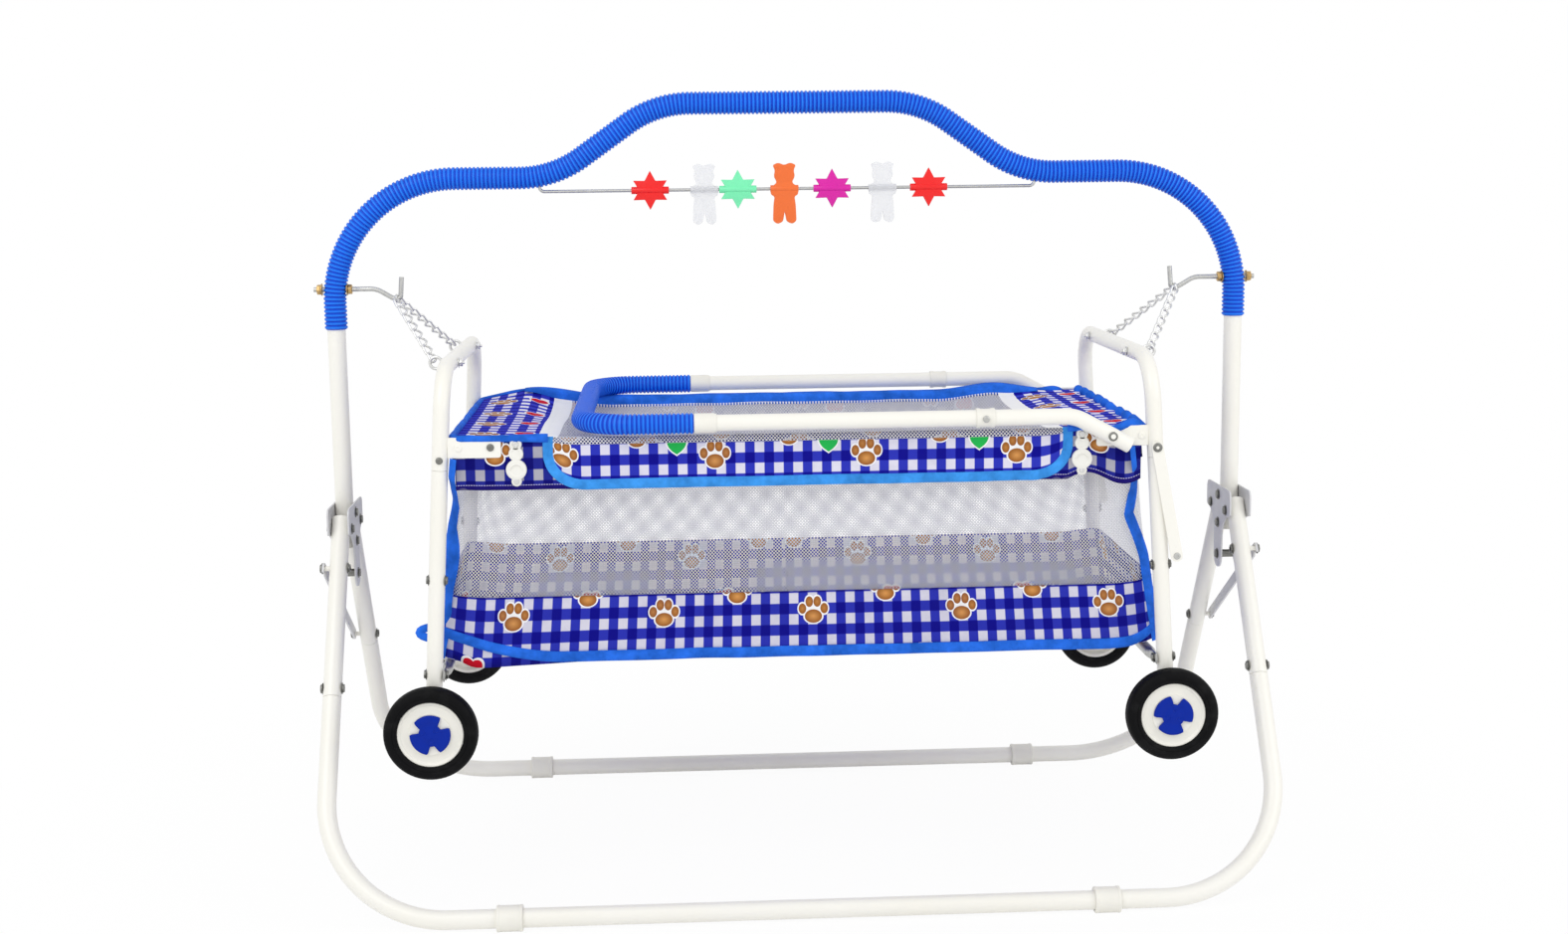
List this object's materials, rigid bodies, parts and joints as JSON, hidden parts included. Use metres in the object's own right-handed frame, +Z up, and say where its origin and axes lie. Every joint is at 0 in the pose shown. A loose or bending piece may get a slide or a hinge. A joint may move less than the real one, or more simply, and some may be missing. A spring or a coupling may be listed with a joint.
{
  "type": "swing cradle with mosquito net",
  "caption": "Baby swing cradle: folding white tube stand, padded blue arch with toys, and a wheeled gingham basket with a net cover hung on chains.",
  "frame": {"origin": "centre of the footprint at floor level", "axes": "+X along the cradle towards the end with the handle's pivots, +Y to the back, +Z up; seen from the front, +X is to the right"},
  "size_m": [1.1706, 0.611, 0.952],
  "materials": {
    "white_coat": "glossy white powder coat",
    "zinc_steel": "bright zinc plating",
    "blue_sleeve": "satin ribbed sleeve",
    "tyre": "matte black",
    "ivory_plastic": "satin ivory",
    "blue_plastic": "glossy royal blue",
    "red_plastic": "glossy red",
    "mint_plastic": "glossy mint green",
    "orange_plastic": "glossy orange",
    "magenta_plastic": "glossy magenta",
    "milky_plastic": "milky translucent white",
    "gingham": "blue and white gingham with net windows",
    "net": "fine white mosquito net with gingham edges",
    "board": "plain plywood"
  },
  "bodies": {
    "stand": {"arch_tube": "white_coat", "arch_sleeve": "blue_sleeve", "left_hinge_bracket": "zinc_steel", "right_hinge_bracket": "zinc_steel", "left_hook": "zinc_steel", "right_hook": "zinc_steel", "toy_rod": "white_coat"},
    "front_legs": {"front_left_leg": "white_coat", "front_right_leg": "white_coat", "front_rail": "white_coat", "front_left_foot": "ivory_plastic", "front_right_foot": "ivory_plastic"},
    "back_legs": {"back_left_leg": "white_coat", "back_right_leg": "white_coat", "back_rail": "white_coat", "back_left_foot": "ivory_plastic", "back_right_foot": "ivory_plastic"},
    "left_stay": {"left_locking_stay": "zinc_steel"},
    "right_stay": {"right_locking_stay": "zinc_steel"},
    "cradle": {"left_end_bow": "white_coat", "right_end_bow": "white_coat", "left_cross_bar": "zinc_steel", "right_cross_bar": "zinc_steel", "front_left_lower_leg": "white_coat", "back_left_lower_leg": "white_coat", "front_right_lower_leg": "white_coat", "back_right_lower_leg": "white_coat", "front_rim_rail": "white_coat", "back_rim_rail": "white_coat", "basket": "gingham", "base_board": "board", "net_cover": "net", "left_net_clip": "ivory_plastic", "right_net_clip": "ivory_plastic", "left_chain": "zinc_steel", "right_chain": "zinc_steel"},
    "handle": {"handle_tube": "white_coat", "handle_sleeve": "blue_sleeve"},
    "front_prop": {"front_handle_stay": "zinc_steel"},
    "back_prop": {"back_handle_stay": "zinc_steel"},
    "front_left_wheel": {"front_left_tyre": "tyre", "front_left_hub": "ivory_plastic", "front_left_cap": "blue_plastic"},
    "back_left_wheel": {"back_left_tyre": "tyre", "back_left_hub": "ivory_plastic", "back_left_cap": "blue_plastic"},
    "front_right_wheel": {"front_right_tyre": "tyre", "front_right_hub": "ivory_plastic", "front_right_cap": "blue_plastic"},
    "back_right_wheel": {"back_right_tyre": "tyre", "back_right_hub": "ivory_plastic", "back_right_cap": "blue_plastic"},
    "star_red_left_toy": {"toy_star_red_left": "red_plastic"},
    "figure_white_left_toy": {"toy_figure_white_left": "milky_plastic"},
    "star_mint_toy": {"toy_star_mint": "mint_plastic"},
    "figure_orange_toy": {"toy_figure_orange": "orange_plastic"},
    "star_magenta_toy": {"toy_star_magenta": "magenta_plastic"},
    "figure_white_right_toy": {"toy_figure_white_right": "milky_plastic"},
    "star_red_right_toy": {"toy_star_red_right": "red_plastic"}
  },
  "joints": [
    {"name": "front_legs_fold", "type": "hinge", "parent": "stand", "child": "front_legs", "pos_m": [0, -0.034, 0.424], "axis": [1, 0, 0], "range_deg": [0, 27]},
    {"name": "back_legs_fold", "type": "hinge", "parent": "stand", "child": "back_legs", "pos_m": [0, 0.034, 0.424], "axis": [-1, 0, 0], "range_deg": [0, 27]},
    {"name": "left_stay_unhook", "type": "hinge", "parent": "back_legs", "child": "left_stay", "pos_m": [-0.57805, 0.14239, 0.24999], "axis": [-1, 0, 0], "range_deg": [0, 27]},
    {"name": "right_stay_unhook", "type": "hinge", "parent": "back_legs", "child": "right_stay", "pos_m": [0.57805, 0.14239, 0.24999], "axis": [-1, 0, 0], "range_deg": [0, 27]},
    {"name": "cradle_swing", "type": "hinge", "parent": "stand", "child": "cradle", "pos_m": [0, 0, 0.705], "axis": [1, 0, 0], "range_deg": [-20, 20]},
    {"name": "handle_raise", "type": "hinge", "parent": "cradle", "child": "handle", "pos_m": [0.361, 0, 0.54685], "axis": [0, 1, 0], "range_deg": [0, 20]},
    {"name": "front_stay_swing", "type": "hinge", "parent": "cradle", "child": "front_prop", "pos_m": [0.41635, -0.20625, 0.53119], "axis": [0, 1, 0], "range_deg": [-100, 60]},
    {"name": "back_stay_swing", "type": "hinge", "parent": "cradle", "child": "back_prop", "pos_m": [0.41635, 0.20625, 0.53119], "axis": [0, 1, 0], "range_deg": [-100, 60]},
    {"name": "front_left_wheel_spin", "type": "hinge", "parent": "cradle", "child": "front_left_wheel", "pos_m": [-0.43576, -0.2186, 0.21379], "axis": [0, 1, 0], "continuous": true},
    {"name": "back_left_wheel_spin", "type": "hinge", "parent": "cradle", "child": "back_left_wheel", "pos_m": [-0.43576, 0.2186, 0.21379], "axis": [0, 1, 0], "continuous": true},
    {"name": "front_right_wheel_spin", "type": "hinge", "parent": "cradle", "child": "front_right_wheel", "pos_m": [0.43576, -0.2186, 0.21379], "axis": [0, 1, 0], "continuous": true},
    {"name": "back_right_wheel_spin", "type": "hinge", "parent": "cradle", "child": "back_right_wheel", "pos_m": [0.43576, 0.2186, 0.21379], "axis": [0, 1, 0], "continuous": true},
    {"name": "star_red_left_spin", "type": "hinge", "parent": "stand", "child": "star_red_left_toy", "pos_m": [-0.1705, 0, 0.833], "axis": [1, 0, 0], "continuous": true},
    {"name": "figure_white_left_spin", "type": "hinge", "parent": "stand", "child": "figure_white_left_toy", "pos_m": [-0.104, 0, 0.833], "axis": [1, 0, 0], "continuous": true},
    {"name": "star_mint_spin", "type": "hinge", "parent": "stand", "child": "star_mint_toy", "pos_m": [-0.0625, 0, 0.833], "axis": [1, 0, 0], "continuous": true},
    {"name": "figure_orange_spin", "type": "hinge", "parent": "stand", "child": "figure_orange_toy", "pos_m": [-0.005, 0, 0.833], "axis": [1, 0, 0], "continuous": true},
    {"name": "star_magenta_spin", "type": "hinge", "parent": "stand", "child": "star_magenta_toy", "pos_m": [0.054, 0, 0.833], "axis": [1, 0, 0], "continuous": true},
    {"name": "figure_white_right_spin", "type": "hinge", "parent": "stand", "child": "figure_white_right_toy", "pos_m": [0.1165, 0, 0.833], "axis": [1, 0, 0], "continuous": true},
    {"name": "star_red_right_spin", "type": "hinge", "parent": "stand", "child": "star_red_right_toy", "pos_m": [0.174, 0, 0.833], "axis": [1, 0, 0], "continuous": true}
  ],
  "couplings": [
    {"joint": "back_legs_fold", "follows": "front_legs_fold", "ratio": 1},
    {"joint": "left_stay_unhook", "follows": "front_legs_fold", "ratio": 1},
    {"joint": "right_stay_unhook", "follows": "front_legs_fold", "ratio": 1}
  ]
}
